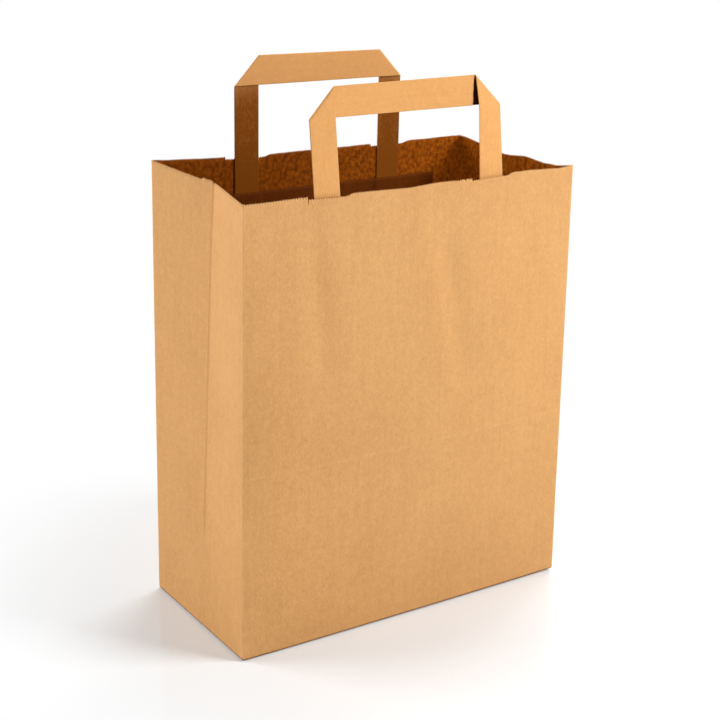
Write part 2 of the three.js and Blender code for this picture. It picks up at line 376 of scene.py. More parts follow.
BASE_FOLD_RADIUS = 0.35 * MM
LEFT_LIFT, RIGHT_LIFT = 0.4 * MM, 1.5 * MM  # the base rests on its middle, with its edges a little up
EDGE_LIFT_REACH = 8 * MM
LEFT_UPRIGHT, RIGHT_UPRIGHT = 1.0, 0.82  # share of the height at which a side has no flare


def sheet_points(bag, s, v):
    """Points of the sheet's middle surface, s across and v up it, as x, y, z arrays.

    At the base fold height is a ramp of v, and the way inwards over the base a ramp of -v. On the base the
    front and rear flaps narrow with the way in, as their ends are mitred, and each flap lies on its own ply.
    The sides flare evenly towards the base, and the base's edges are lifted a little.
    """
    folds = Folds(bag)
    z = ramp(v, BASE_FOLD_RADIUS)
    inwards = ramp(-v, BASE_FOLD_RADIUS)
    x, y, out_x, out_y = plan_curve(bag, s, z)
    away = swell(bag, s, z)
    x = x + out_x * (away - inwards)
    y = y + out_y * (away - inwards)
    x = x * (1 - inwards * np.abs(out_y) / (bag.width / 2))
    rear = (s < folds.rear_left) | (s > folds.rear_right)
    lapped = step(inwards, (bag.depth - bag.flap_lap) / 2 - 3 * MM, (bag.depth - bag.flap_lap) / 2)
    ply = np.abs(out_x) * 2 + np.where(rear, lapped, 0) + 0.5
    on_base = 1 - step(v, 0, 4 * MM)
    lift = np.interp(x, [-bag.width / 2, bag.width / 2], [LEFT_LIFT, RIGHT_LIFT])
    lift = lift * np.exp(-np.abs(v) / EDGE_LIFT_REACH)
    left_flare = bag.left_flare * (LEFT_UPRIGHT - z / bag.height)
    right_flare = bag.right_flare * (RIGHT_UPRIGHT - z / bag.height)
    x = x + np.where(x < 0, left_flare, right_flare) * x / (bag.width / 2)
    return x, y, z + ply * bag.paper * on_base + lift


RIM_MARGIN = 12 * MM  # sheet under the rim that has the fine columns
SLIT_DEPTH = 5 * MM
NICK_X = 36.4 * MM
NICK_DEPTH = 1.2 * MM
CUT_WIDTH = 0.4 * MM  # half width of the slit and the nick
RAGGED = 0.12 * MM

# How far the cut rim lies under its full height, in mm: by X on the panels, from a gusset's first fold on it
FRONT_CUT = (
    (-130, 1.8), (-120, 1.85), (-92, 1.5), (-84, 1.4), (-51, 2.1), (-24, 2.55), (-8, 2.8), (1.5, 2.4),
    (11, 1.65), (24, 1.6), (30, 1.9), (34, 1.6), (42, 1.6), (77, 0.55), (91, 0.45), (97, 0.9), (119, 1.45),
    (127, 0.6), (130, 0.4),
)
REAR_CUT = ((124, 0.5), (105, 0.25), (83, 0.1), (-37, -0.05), (-74, -0.95), (-84, -1.3), (-130, -3.9))
LEFT_CUT = ((52.6, 0.8), (53.4, -0.4), (63.8, 0.4), (64.4, 1.9), (65.6, 1.0), (127, 1.9))
RIGHT_CUT = (
    (3, 1.2), (16, 3.5), (30, 3.8), (49, 2.4), (58, 3.3), (66, 4.4), (80, 4.9), (106, 1.9), (120, 0.6),
    (130, 0.2),
)
# Notches: side, leg, left end, start and end of the sloped right end, all from the middle of the leg, in mm
NOTCHES = (
    (FRONT, -1, -14.7, 13.0, 18.5),
    (FRONT, 1, -17.1, 11.5, 18.0),
    (REAR, -1, -16.4, 14.0, 20.0),
    (REAR, 1, -14.4, 13.3, 19.8),
)


def cut_line(bag, s):
    """Depth of the cut under the full height: straight from each place of the cut tables to the next."""
    folds = Folds(bag)
    places = [folds.on_panel(bag, REAR, x * MM) for x, _ in REAR_CUT]
    places += [folds.rear_left + d * MM for d, _ in LEFT_CUT]
    places += [folds.on_panel(bag, FRONT, x * MM) for x, _ in FRONT_CUT]
    places += [folds.front_right + d * MM for d, _ in RIGHT_CUT]
    depths = [depth * MM for _, depth in REAR_CUT + LEFT_CUT + FRONT_CUT + RIGHT_CUT]
    return np.interp(s, places, depths)


def rim_height(bag, tape, handles, s):
    """Height of the cut rim: full height less the cut line, notches, slit and nick, plus teeth."""
    folds = Folds(bag)
    top = bag.height - cut_line(bag, s)
    front_x = s - folds.on_panel(bag, FRONT, 0)
    rear_x = folds.on_panel(bag, REAR, 0) - s
    for side, leg, left, slope_start, slope_end in NOTCHES:
        handle = dict(handles)[side]
        x = front_x if side == FRONT else rear_x
        x = x - handle.offset - leg * (handle.span - tape.width) / 2
        notch = step(x, (left - 0.2) * MM, (left + 0.2) * MM)
        notch = notch * (1 - step(x, slope_start * MM, slope_end * MM))
        top = top - bag.notch_depth * notch
    front = dict(handles)[FRONT]
    slit_x = front.offset - (front.span - tape.width) / 2 + NOTCHES[0][2] * MM
    top = top - SLIT_DEPTH * np.clip(1 - np.abs(front_x - slit_x) / CUT_WIDTH, 0, 1)
    top = top - NICK_DEPTH * mound(front_x, NICK_X, CUT_WIDTH)
    ragged = RAGGED * wander(s, 17 * MM, 11) + RAGGED * wander(s, 2.3 * MM, 12)
    return top + ragged + bag.tooth_height * tooth_wave(s, bag.tooth_pitch)


COLUMN_STEP = 4 * MM
ROW_STEP = 4 * MM
FINE_PER_COLUMN = 12  # a column of the wall holds this many of the rim
FOLD_COLUMNS = np.array([-2.4, -1.0, -0.4, -0.1, 0.1, 0.4, 1.0, 2.4]) * MM
CREASE_COLUMNS = np.array([-3.0, -1.4, -0.5, 0.5, 1.4, 3.0]) * MM
BASE_ROWS = np.array([-6, -3, -1.4, -0.6, -0.25, -0.08, 0.08, 0.25, 0.6, 1.4, 3, 6]) * MM
KNEE_ROWS = np.array([-6, -2.5, -1, 0, 1, 2.5, 6]) * MM
RIM_ROWS = np.array([0.3, 0.55, 0.78, 1.0])


def spaced(low, high, spacing):
    """Evenly spaced values from low to high, at most a spacing apart."""
    return np.linspace(low, high, max(2, math.ceil((high - low) / spacing) + 1))


def with_clusters(even, clusters, clear):
    """Even values joined by clusters of close ones, without the even ones nearer than clear to a cluster."""
    close = np.concatenate(clusters)
    apart = np.abs(even[:, None] - close[None, :]).min(1) > clear
    return np.unique(np.concatenate([even[apart], close]))


def sheet_columns(bag):
    """Places across the sheet: close together at the folds and creases, even between them."""
    folds = Folds(bag)
    clusters = [corner + FOLD_COLUMNS for corner in folds.corners]
    middles = (folds.rear_left + bag.depth / 2, folds.front_right + bag.depth / 2)
    clusters += [middle + CREASE_COLUMNS for middle in middles]
    clusters += [np.array([0, folds.lap - 2 * MM, folds.lap - 1 * MM, folds.lap, folds.end])]
    return with_clusters(spaced(0, folds.end, COLUMN_STEP), clusters, 1.3 * MM)


def sheet_rows(bag):
    """Places up the sheet to the foot of the rim: close together at the base fold and the cross crease."""
    flap = (bag.depth + bag.flap_lap) / 2
    even = np.concatenate([spaced(-flap, 0, 7 * MM), spaced(0, bag.height - RIM_MARGIN, ROW_STEP)])
    ends = np.array([-flap, bag.height - RIM_MARGIN])
    return with_clusters(even, [BASE_ROWS, bag.depth + KNEE_ROWS, ends], 1.3 * MM)


def quads(row_count, column_count, first=0):
    """Corners of the cells of a grid whose points are numbered along its rows."""
    corner = first + np.arange((row_count - 1) * column_count).reshape(row_count - 1, column_count)[:, :-1]
    return np.stack([corner, corner + 1, corner + 1 + column_count, corner + column_count], -1)


def bag_sheet(bag, tape, handles):
    """The whole sheet as points, flat places and faces.

    The wall is a grid of rows and columns. Over it lies a finer grid up to the cut rim, which shares the top
    row: each cell between them is a polygon with one wall column below and that column's fine points above.
    Cells at the upright folds are left out on the base, where the flaps part, and in the small corner holes.
    """
    columns = sheet_columns(bag)
    rows = sheet_rows(bag)
    wall_s, wall_v = np.meshgrid(columns, rows)
    shares = np.arange(FINE_PER_COLUMN) / FINE_PER_COLUMN
    fine = (columns[:-1, None] + np.diff(columns)[:, None] * shares).ravel()
    fine = np.append(fine, columns[-1])
    foot = rows[-1]
    rim_s, rim_share = np.meshgrid(fine, RIM_ROWS)
    rim_v = foot + (rim_height(bag, tape, handles, rim_s) - foot) * rim_share
    s = np.concatenate([wall_s.ravel(), rim_s.ravel()])
    v = np.concatenate([wall_v.ravel(), rim_v.ravel()])
    points = np.stack(sheet_points(bag, s, v), -1)

    wall = quads(len(rows), len(columns))
    from_fold = Folds(bag).nearest((columns[:-1] + columns[1:]) / 2)
    mitre = (rows[1:] <= BASE_ROWS[3])[:, None] & (from_fold < FOLD_COLUMNS[-2])
    hole = (rows[1:] <= BASE_ROWS[-3])[:, None] & (from_fold < FOLD_COLUMNS[-3])
    wall = wall[~(mitre | hole)]
    first_rim = wall_s.size
    below = first_rim - len(columns) + np.arange(len(columns) - 1)
    above = first_rim + np.arange(len(columns) - 1)[:, None] * FINE_PER_COLUMN
    above = above + np.arange(FINE_PER_COLUMN, -1, -1)
    joint = np.concatenate([below[:, None], below[:, None] + 1, above], 1)
    rim = quads(len(RIM_ROWS), len(fine), first_rim).reshape(-1, 4)
    faces = wall.reshape(-1, 4).tolist() + joint.tolist() + rim.tolist()
    return points, np.stack([s, v], -1), faces


# Handles and patches


LEG_STEP = 2.5 * MM
FOLD_STEPS = 12
SHEAR_STEPS = 8
SHEAR_START = 5 * MM  # leg under the fold over which its sections turn to 45 degrees
STRIP_STEPS = 40
POCKET_STEPS = 60  # sections of the strip near its right fold
POCKET_SHARE = 0.75  # share of the strip after which its sections are close
POCKET_MOUTH = 1.4 * MM
POCKET_LIP = 0.8 * MM
STRIP_WAVE = 0.25 * MM
FACE_POINTS = 31


def tape_profile(tape):
    """Section of the tape: share across from its outer edge, share of the thickness, and metres round it.

    Two flat faces with half-round edges. The second face has its last ply's edge a third of the way over.
    """
    half_turn = np.radians([45, 0, -45])
    edge = tape.thickness / 2 / tape.width
    face = np.linspace(edge, 1 - edge, FACE_POINTS)
    ply_edge = 0.06 * (step(face, 0.345, 0.36) - 0.5)
    out = edge * np.cos(half_turn)
    aside = 0.5 * np.sin(half_turn)
    across = np.concatenate([face, 1 - edge + out, face[::-1], edge - out])
    depth = np.concatenate([np.full(FACE_POINTS, 0.5), aside, -0.5 + ply_edge[::-1], -aside])
    steps = np.hypot(np.diff(across) * tape.width, np.diff(depth) * tape.thickness)
    return across, depth, np.concatenate([[0], np.cumsum(steps)])


def fold_slip(tape, gap):
    """How far the tape has slid along a 45 degree fold once it is round it, across and up: pi r / sqrt(2)."""
    return math.pi / math.sqrt(2) * (tape.thickness + gap) / 2


def tape_sections(bag, tape, handle):
    """Sections of a handle laid out flat: their outer end, inner end and normal, from tail to tail.

    Flat means u across from the handle's middle, v up and w away from the panel. A leg goes up to a fold
    along a 45 degree line. A half-round turn about that line, on which the tape slides along it as far as
    round it, leads to the other layer, and the strip runs straight from one fold to the other.
    """
    top = bag.height + handle.rise
    tail_end = bag.height - tape.patch_below_rim - tape.tail
    leg_w = bag.paper / 2 + tape.glue_line + tape.thickness / 2

    def half(side, gap):
        fold_top = top - fold_slip(tape, gap)
        straight_end = fold_top - tape.width - SHEAR_START
        level = spaced(tail_end, straight_end, LEG_STEP)
        shear = np.arange(1, SHEAR_STEPS) / SHEAR_STEPS
        outer_v = np.concatenate([level, straight_end + SHEAR_START * shear])
        inner_v = np.concatenate([level, straight_end + (SHEAR_START + tape.width) * shear])
        count = len(outer_v)
        outer = np.stack([np.full(count, side * handle.span / 2), outer_v, np.full(count, leg_w)], -1)
        inner = np.stack([np.full(count, side * (handle.span / 2 - tape.width)), inner_v, outer[:, 2]], -1)
        normal = np.tile([0.0, 0.0, -1.0], (count, 1))
        turn = np.linspace(0, np.pi, FOLD_STEPS + 1)
        outwards = np.array([side, 1, 0]) / math.sqrt(2)
        arc = np.sin(turn)[:, None] * outwards - np.cos(turn)[:, None] * np.array([0, 0, 1])
        radius = (tape.thickness + gap) / 2
        slide = turn[:, None] * np.array([-side, 1, 0]) / math.sqrt(2)
        shift = (arc + slide) * radius + np.array([0, 0, leg_w + radius])
        fold_outer = shift + np.array([side * handle.span / 2, fold_top - tape.width, 0])
        fold_inner = shift + np.array([side * (handle.span / 2 - tape.width), fold_top, 0])
        return [
            np.concatenate([outer, fold_outer]),
            np.concatenate([inner, fold_inner]),
            np.concatenate([normal, arc]),
        ]

    left = half(-1, handle.left_gap)
    right = [part[::-1] for part in half(1, tape.glue_line)]
    even = np.linspace(0, POCKET_SHARE, STRIP_STEPS)[1:]
    close = np.linspace(POCKET_SHARE, 1, POCKET_STEPS)[1:-1]
    share = np.concatenate([even, close])[:, None]
    joined = []
    for before, after in zip(left, right):
        strip = before[-1] * (1 - share) + after[0] * share
        joined.append(np.concatenate([before, strip, after]))
    return joined


def lay_on_panel(bag, tape, handle, side, flat):
    """Lays flat points of a handle on its panel: above the bend they lean in, on an arc, then straight."""
    start = bag.height - tape.bend_below_rim
    radius = tape.bend_length / handle.lean
    u, v, w = np.moveaxis(flat, -1, 0)
    along = np.maximum(v - start, 0)
    turn = np.minimum(along / radius, handle.lean)
    straight = np.maximum(along - tape.bend_length, 0)
    z = np.minimum(v, start) + (radius - w) * np.sin(turn) + straight * math.cos(handle.lean)
    away = radius - (radius - w) * np.cos(turn) + straight * math.sin(handle.lean)
    x = handle.offset + u
    return on_panel(bag, side, x, z, away)


def on_panel(bag, side, x, z, away):
    """Points at a given X and Z, away from the middle of the front or rear panel towards the inside."""
    under_rim = np.minimum(z, bag.height)
    s = Folds(bag).on_panel(bag, side, x)
    panel_y = plan_curve(bag, s, under_rim)[1]
    y = panel_y + side * (swell(bag, s, under_rim) - away)
    return np.stack([x, y, z], -1)


def handle_tape(bag, tape, handle, side):
    """The handle as points, flat places, faces and painted shade of the pocket: the tape's section carried
    along its path.

    The right leg turns about its outer boundary: a point goes towards the panel by the sine of the turn
    times its level distance to the outer edge or, beside the fold, to the fold line. Behind it the strip
    falls back, from a nearly upright mouth on, by the pocket times its distance to the fold line in widths.
    """
    outer, inner, normal = tape_sections(bag, tape, handle)
    across, depth, girth = tape_profile(tape)
    flat = outer[:, None] + (inner - outer)[:, None] * across[None, :, None]
    flat = flat + normal[:, None] * (tape.thickness * depth)[None, :, None]
    slip = fold_slip(tape, tape.glue_line)
    low = bag.height + handle.rise - tape.width
    u, v = flat[..., 0], flat[..., 1]
    right_leg = (normal[:, 2] < -0.99) & (outer[:, 0] > 0)
    level = np.maximum(handle.span / 2 - u - np.maximum(v - low + slip, 0), 0)
    grown = np.clip((v - bag.height) / (handle.rise - tape.width), 0, 1)
    flat[..., 2] -= np.where(right_leg[:, None], level * np.sin(handle.twist * grown), 0)
    strip = normal[:, 2] > 0.99
    to_fold = np.clip((handle.span / 2 - slip - u - (v - low)) / tape.width, 0, 1)
    below_top = 1 - np.clip((v - low) / tape.width, 0, 1)
    mouth = handle.span / 2 - slip - tape.width - POCKET_MOUTH * below_top
    behind = np.where(strip[:, None], step(u, mouth, mouth + POCKET_LIP), 0)
    flat[..., 2] += np.where(strip[:, None], STRIP_WAVE * wander(u, 31 * MM, 21), 0)
    flat[..., 2] += handle.pocket * behind * to_fold
    # painted shade: the strip's face towards the leg, inside the pocket
    dark = behind * (depth < 0) * (handle.pocket > 0)
    along = 0.5 + flat[..., 0] / handle.span
    raised = np.clip((flat[..., 1] - bag.height) / handle.rise, 0, 1) ** 3
    flat[..., 1] += raised * (handle.left_lift * (1 - along) + handle.right_lift * along)
    points = lay_on_panel(bag, tape, handle, side, flat)

    sections, ring = flat.shape[:2]
    path = (outer + inner) / 2
    travel = np.concatenate([[0], np.cumsum(np.linalg.norm(np.diff(path, axis=0), axis=1))])
    uv = np.stack(np.broadcast_arrays(girth[None, :], travel[:, None]), -1)
    corner = np.arange((sections - 1) * ring).reshape(sections - 1, ring)
    beyond = np.roll(corner, -1, 1)
    faces = np.stack([corner, corner + ring, beyond + ring, beyond], -1).reshape(-1, 4)
    caps = np.stack([np.arange(ring), np.arange(sections * ring - 1, (sections - 1) * ring - 1, -1)])
    if side == REAR:
        faces = faces[:, ::-1]
        caps = caps[:, ::-1]
    return points.reshape(-1, 3), uv.reshape(-1, 2), faces.tolist() + caps.tolist(), dark.ravel()


def patch_paper(bag, tape, handle, side):
    """The patch as points, flat places and faces: a sheet on the panel that climbs over each leg's tail."""
    reach = handle.span / 2 + tape.patch_margin
    top = bag.height - tape.patch_below_rim
    x, z = np.meshgrid(
        handle.offset + spaced(-reach, reach, 1.2 * MM), spaced(top - tape.patch_height, top, 2.5 * MM)
    )
    climb = np.zeros_like(x)
    for leg in (-1, 1):
        centre = handle.offset + leg * (handle.span - tape.width) / 2
        flat = tape.width / 2 + tape.glue_line
        climb = climb + 1 - step(np.abs(x - centre), flat, flat + tape.patch_ramp)
    away = bag.paper / 2 + tape.glue_line + tape.patch_thickness / 2
    away = away + climb * (tape.thickness + tape.glue_line)
    away = away + 0.12 * MM * (1 + wander(x, 14 * MM, 31) * wander(z, 11 * MM, 32))
    points = on_panel(bag, side, x, z, away)
    faces = quads(*x.shape).reshape(-1, 4)
    if side == FRONT:
        faces = faces[:, ::-1]
    return points.reshape(-1, 3), np.stack([x, z], -1).reshape(-1, 2), faces.tolist()


def add_piece(name, points, uv, faces, materials):
    """A smooth mesh object at the origin, with its flat places as the UV map named flat."""
    mesh = bpy.data.meshes.new(name)
    mesh.from_pydata(points.tolist(), [], faces)
    layer = mesh.uv_layers.new(name="flat")
    vertex = np.empty(len(mesh.loops), dtype=np.int32)
    mesh.loops.foreach_get("vertex_index", vertex)
    layer.data.foreach_set("uv", uv[vertex].astype(np.float32).ravel())
    mesh.polygons.foreach_set("use_smooth", np.ones(len(mesh.polygons), dtype=bool))
    for material in materials:
        mesh.materials.append(material)
    mesh.update()
    piece = bpy.data.objects.new(name, mesh)
    bpy.context.scene.collection.objects.link(piece)
    return piece


def thicken(piece, thickness, inner_material=0):
    """Gives a sheet its thickness, half to each side of its middle surface."""
    wall = piece.modifiers.new("paper", "SOLIDIFY")
    wall.thickness = thickness
    wall.offset = 0.0
    wall.use_rim = True
    wall.material_offset = inner_material


# Materials


class Term:
    """A number that varies over a surface. Arithmetic on it adds Math nodes to its material."""

    def __init__(self, paint, socket):
        self.paint = paint
        self.socket = socket

    def math(self, operation, first, *others):
        inputs = dict(enumerate((first, *others)))
        return self.paint.term("Math", {"operation": operation}, inputs)

    def __add__(self, other):
        return self.math("ADD", self, other)

    def __radd__(self, other):
        return self.math("ADD", other, self)

    def __sub__(self, other):
        return self.math("SUBTRACT", self, other)

    def __rsub__(self, other):
        return self.math("SUBTRACT", other, self)

    def __mul__(self, other):
        return self.math("MULTIPLY", self, other)

    def __rmul__(self, other):
        return self.math("MULTIPLY", other, self)

    def __truediv__(self, other):
        return self.math("DIVIDE", self, other)

    def __abs__(self):
        return self.math("ABSOLUTE", self)

    def clamp(self):
        return self.paint.term("Clamp", {}, {"Value": self})


class Paint:
    """A material or a world under construction."""

    def __init__(self, owner):
        self.owner = owner
        owner.use_nodes = True
        self.tree = owner.node_tree
        self.tree.nodes.clear()

    def node(self, kind, settings, inputs):
        """Adds a node: its settings first, then a value or a link for each socket, by name or number."""
        made = self.tree.nodes.new("ShaderNode" + kind)
        for name, value in settings.items():
            setattr(made, name, value)
        for key, value in inputs.items():
            if isinstance(value, Term):
                value = value.socket
            if isinstance(value, bpy.types.NodeSocket):
                self.tree.links.new(value, made.inputs[key])
            else:
                made.inputs[key].default_value = value
        return made

    def term(self, kind, settings, inputs, output=0):
        return Term(self, self.node(kind, settings, inputs).outputs[output])

    def flat(self):
        """Place on the flat paper: across and along it, in metres."""
        place = self.node("UVMap", {"uv_map": "flat"}, {})
        parts = self.node("SeparateXYZ", {}, {0: place.outputs[0]})
        return Term(self, parts.outputs[0]), Term(self, parts.outputs[1])

    def noise(self, u, v, scales, detail=2.0, layer=0.0):
        """Smooth noise about 0, with its own scale across and along the paper, per metre."""
        place = self.node("CombineXYZ", {}, {0: u * scales[0], 1: v * scales[1], 2: layer})
        settings = {"noise_dimensions": "3D"}
        inputs = {"Vector": place.outputs[0], "Scale": 1.0, "Detail": detail, "Roughness": 0.55}
        return self.term("TexNoise", settings, inputs) - 0.5

    def rise(self, value, start, end):
        """0 before start and 1 after end, eased between them."""
        inputs = {"Value": value, "From Min": start, "From Max": end}
        return self.term("MapRange", {"interpolation_type": "SMOOTHSTEP"}, inputs)

    def line(self, distance, width):
        """1 on a line and 0 beyond its width, eased."""
        return self.rise(abs(distance), width, 0.0)

    def mix(self, share, below, above):
        """Colour between two colours."""
        settings = {"data_type": "RGBA", "clamp_factor": True}
        return self.node("Mix", settings, {0: share, 6: below, 7: above}).outputs[2]

    def paper(self, base, roughness, relief, relief_depth, gloss, glow=(0, 0, 0, 1)):
        """Closes the material as matt paper with a fine relief, and a painted glow standing in for light that
        comes through it.
        """
        bump = self.node(
            "Bump", {}, {"Height": relief, "Strength": 1.0, "Distance": relief_depth}
        )
        surface = self.node(
            "BsdfPrincipled",
            {},
            {
                "Base Color": base,
                "Roughness": roughness,
                "Specular IOR Level": gloss,
                "Emission Color": glow,
                "Emission Strength": 1.0,
                "Normal": bump.outputs[0],
            },
        )
        self.node("OutputMaterial", {}, {"Surface": surface.outputs[0]})
        return self.owner


# Kraft paper: size of its features per metre, across and along the web
CLOUDS = (24, 17)
STREAKS = (330, 16)
MOTTLE = (210, 160)
BLOTS = (330, 290)
SPOTS = (650, 500)
FLECKS = (850, 450)
FIBRES = (2300, 800)
STRANDS = (520, 190)


def kraft_grain(paint, u, v):
    """Shade and relief of kraft: clouds, streaks along the web, flecks, and loose strands of fibre."""
    clouds = paint.noise(u, v, CLOUDS, 3.0)
    streaks = paint.noise(u, v, STREAKS, 2.0, 3.1)
    flecks = paint.noise(u, v, FLECKS, 2.0, 5.7)
    fibres = paint.noise(u, v, FIBRES, 2.0, 8.3)
    strands = paint.line(paint.noise(u + v * 0.5, v, STRANDS, 1.0, 11.9), 0.012)
    mottle = paint.noise(u, v, MOTTLE, 3.0, 14.3)
    shade = clouds * 0.75 + streaks * 0.45 + mottle * 0.7 + flecks * 1.3 + fibres * 0.7
    relief = streaks * 0.2 + mottle * 0.3 + flecks * 0.7 + fibres * 0.6 + strands * 0.15
    return shade, relief, strands


def worn_folds(paint, bag, u, v):
    """Scuffed lines on the bag's folds: upright folds, cross crease, base fold and 45 degree creases."""
    folds = Folds(bag)
    apex = bag.depth / 2
    patchy = paint.noise(u, v, (110, 90), 2.0, 17.0) * 1.6 + 0.75
    upright = None
    slanted = None
    for corner in folds.corners:
        fold = paint.line(u - corner, 1.6 * MM)
        crease = paint.line(abs(u - corner) - v, 1.5 * MM)
        upright = fold if upright is None else upright + fold
        slanted = crease if slanted is None else slanted + crease
    low = paint.rise(v, apex + 4 * MM, apex - 2 * MM)
    cross = paint.line(v - bag.depth, 1.9 * MM)
    base = paint.line(v, 1.8 * MM)
    return (upright * 0.75 + slanted * low * 0.12 + cross * 0.2 + base * 0.2) * patchy


def gusset_crease_shade(paint, bag, u, v):
    """Painted shade: dark hair lines in the gussets' middle creases, above the apex."""
    folds = Folds(bag)
    apex = bag.depth / 2
    left = paint.line(u - (folds.rear_left + apex - 0.8 * MM), 2.2 * MM)
    right = paint.line(u - (folds.front_right + apex), 2.2 * MM)
    return (left + right) * paint.rise(v, apex - 4 * MM, apex + 8 * MM)


# width of the painted contact shade along the base fold
BASE_SHADE = 1.6 * MM


def kraft_outside(bag, colours):
    """Outer side of the bag: streaked kraft with scuffed folds, painted shade in the gussets' middle creases
    and a painted contact shade along the base fold.
    """
    paint = Paint(bpy.data.materials.new("kraft_outside"))
    u, v = paint.flat()
    shade, relief, strands = kraft_grain(paint, u, v)
    base = paint.mix((0.62 + shade * 0.9 + strands * 0.10).clamp(), colours.outside_shade, colours.outside)
    base = paint.mix((worn_folds(paint, bag, u, v) * 0.75).clamp(), base, colours.worn)
    # painted shade in the gussets' middle creases
    base = paint.mix(gusset_crease_shade(paint, bag, u, v) * 0.25, base, colours.inside)
    # painted contact shade along the base fold
    base = paint.mix(paint.line(v, BASE_SHADE) * 0.95, base, colours.inside_shade)
    return paint.paper(base, 0.74 + shade * 0.12, relief, 0.09 * MM, 0.2)


def kraft_inside(bag, colours):
    """Inner side of the bag: darker as painted shade of the bag's inside, cloudy and flecked, with a painted
    glow where light would come through the paper.
    """
    paint = Paint(bpy.data.materials.new("kraft_inside"))
    u, v = paint.flat()
    shade, relief, strands = kraft_grain(paint, u, v)
    blots = paint.noise(u, v, BLOTS, 4.0, 23.0)
    base = paint.mix((0.45 + shade * 0.7 + blots * 2.6).clamp(), colours.inside_shade, colours.inside)
    spots = paint.rise(paint.noise(u, v, SPOTS, 2.0, 27.0), 0.12, 0.24)
    base = paint.mix(spots * 0.5 + strands * 0.12, base, colours.inside_spot)
    folds = Folds(bag)
    # painted glow: emission standing in for light through the paper, on the right gusset and the right part
    # of the rear panel
    lit_through = paint.rise(u, 130 * MM, 0.0)
    lit_through = lit_through + paint.rise(u, folds.front_right, folds.front_right + 20 * MM)
    glow = paint.mix(lit_through * 0.32, (0, 0, 0, 1), base)
    return paint.paper(base, 0.8 + shade * 0.1, relief, 0.12 * MM, 0.03, glow)


LEG_SHADE_FADE = 26 * MM  # leg under its fold over which the painted shade grows
RIM_TO_FOOT = 3 * MM  # painted shade on the foot of a leg, from this far under the rim


def tape_kraft(tape, colours, name, leg_length, whole_length):
    """Handle tape: fine streaks along it, with painted shade on the legs' side facing into the bag, on their
    feet and in the right fold's open pocket.
    """
    paint = Paint(bpy.data.materials.new(name))
    u, v = paint.flat()
    shade, relief, strands = kraft_grain(paint, u, v)
    base = paint.mix((0.65 + shade * 0.8 + strands * 0.1).clamp(), colours.tape_shade, colours.tape)
    # painted shade on the legs' side that faces into the bag
    inner_side = paint.rise(u, tape.width, tape.width + tape.thickness)
    from_end = whole_length / 2 - abs(v - whole_length / 2)
    slow = paint.rise(from_end, leg_length, leg_length - LEG_SHADE_FADE)
    quick = paint.rise(from_end, leg_length + 1 * MM, leg_length)
    painted_leg_shade = inner_side * (slow * 0.35 + quick * 0.65) * (1 + shade * 0.3)
    base = paint.mix(painted_leg_shade.clamp(), base, colours.leg_shade)
    # painted shade on each leg's foot, where the rim shades it
    foot = tape.tail + tape.patch_below_rim - RIM_TO_FOOT
    base = paint.mix(paint.rise(from_end, foot + 0.5 * MM, foot - 0.5 * MM) * 0.9, base, colours.leg_shade)
    # painted shade of the tape deep inside the right fold's open pocket
    pocket_shade = paint.term("Attribute", {"attribute_name": "pocket_shade"}, {}, "Fac")
    base = paint.mix(pocket_shade, base, colours.pocket_shade)
    return paint.paper(base, 0.68 + shade * 0.12, relief, 0.07 * MM, 0.06)


def patch_kraft(colours):
    """Patch paper: smooth kraft, darkened as painted shade where no light comes through its layers."""
    paint = Paint(bpy.data.materials.new("patch_kraft"))
    u, v = paint.flat()
    shade, relief, strands = kraft_grain(paint, u, v)
    base = paint.mix((0.5 + shade * 1.0 + strands * 0.1).clamp(), colours.patch_shade, colours.patch)
    return paint.paper(base, 0.72 + shade * 0.1, relief, 0.08 * MM, 0.03)


# Stage


# Camera of the photograph: place, and its sideways, upwards and backwards directions
CAMERA_PLACE = Vector((-561.3, -844.2, 508.9)) * MM
CAMERA_AZIMUTH = math.radians(-33.575)
CAMERA_ELEVATION = math.radians(18.455)
CAMERA_ROLL = math.radians(1.223)
LENS = 75.38  # on a 36 mm sensor


def add_camera(scene):
    data = bpy.data.cameras.new("camera")
    data.lens = LENS
    data.sensor_width = 36.0
    camera = bpy.data.objects.new("camera", data)
    flat = math.cos(CAMERA_ELEVATION)
    back = Vector(
        (math.sin(CAMERA_AZIMUTH) * flat, -math.cos(CAMERA_AZIMUTH) * flat, math.sin(CAMERA_ELEVATION))
    )
    right = Vector((math.cos(CAMERA_AZIMUTH), math.sin(CAMERA_AZIMUTH), 0))
    up = back.cross(right)
    rolled_right = right * math.cos(CAMERA_ROLL) + up * math.sin(CAMERA_ROLL)
    rolled_up = up * math.cos(CAMERA_ROLL) - right * math.sin(CAMERA_ROLL)
    turn = Matrix((rolled_right, rolled_up, back)).transposed()
    camera.matrix_world = Matrix.LocRotScale(CAMERA_PLACE, turn, None)
    scene.collection.objects.link(camera)
    scene.camera = camera


def add_lamp(scene, name, place, target, size, power):
    """A square area lamp at a place, facing a target."""
    data = bpy.data.lights.new(name, "AREA")
    data.shape = "SQUARE"
    data.size = size
    data.energy = power
    lamp = bpy.data.objects.new(name, data)
    lamp.location = place
    lamp.rotation_euler = (Vector(target) - Vector(place)).to_track_quat("-Z", "Y").to_euler()
    scene.collection.objects.link(lamp)


def seen_directly(paint):
    """1 where the camera looks straight at a surface, or sees it in a gloss or through glass."""
    path = paint.node("LightPath", {}, {})
    seen = Term(paint, path.outputs["Is Camera Ray"]) + Term(paint, path.outputs["Is Glossy Ray"])
    return (seen + Term(paint, path.outputs["Is Transmission Ray"])).clamp()


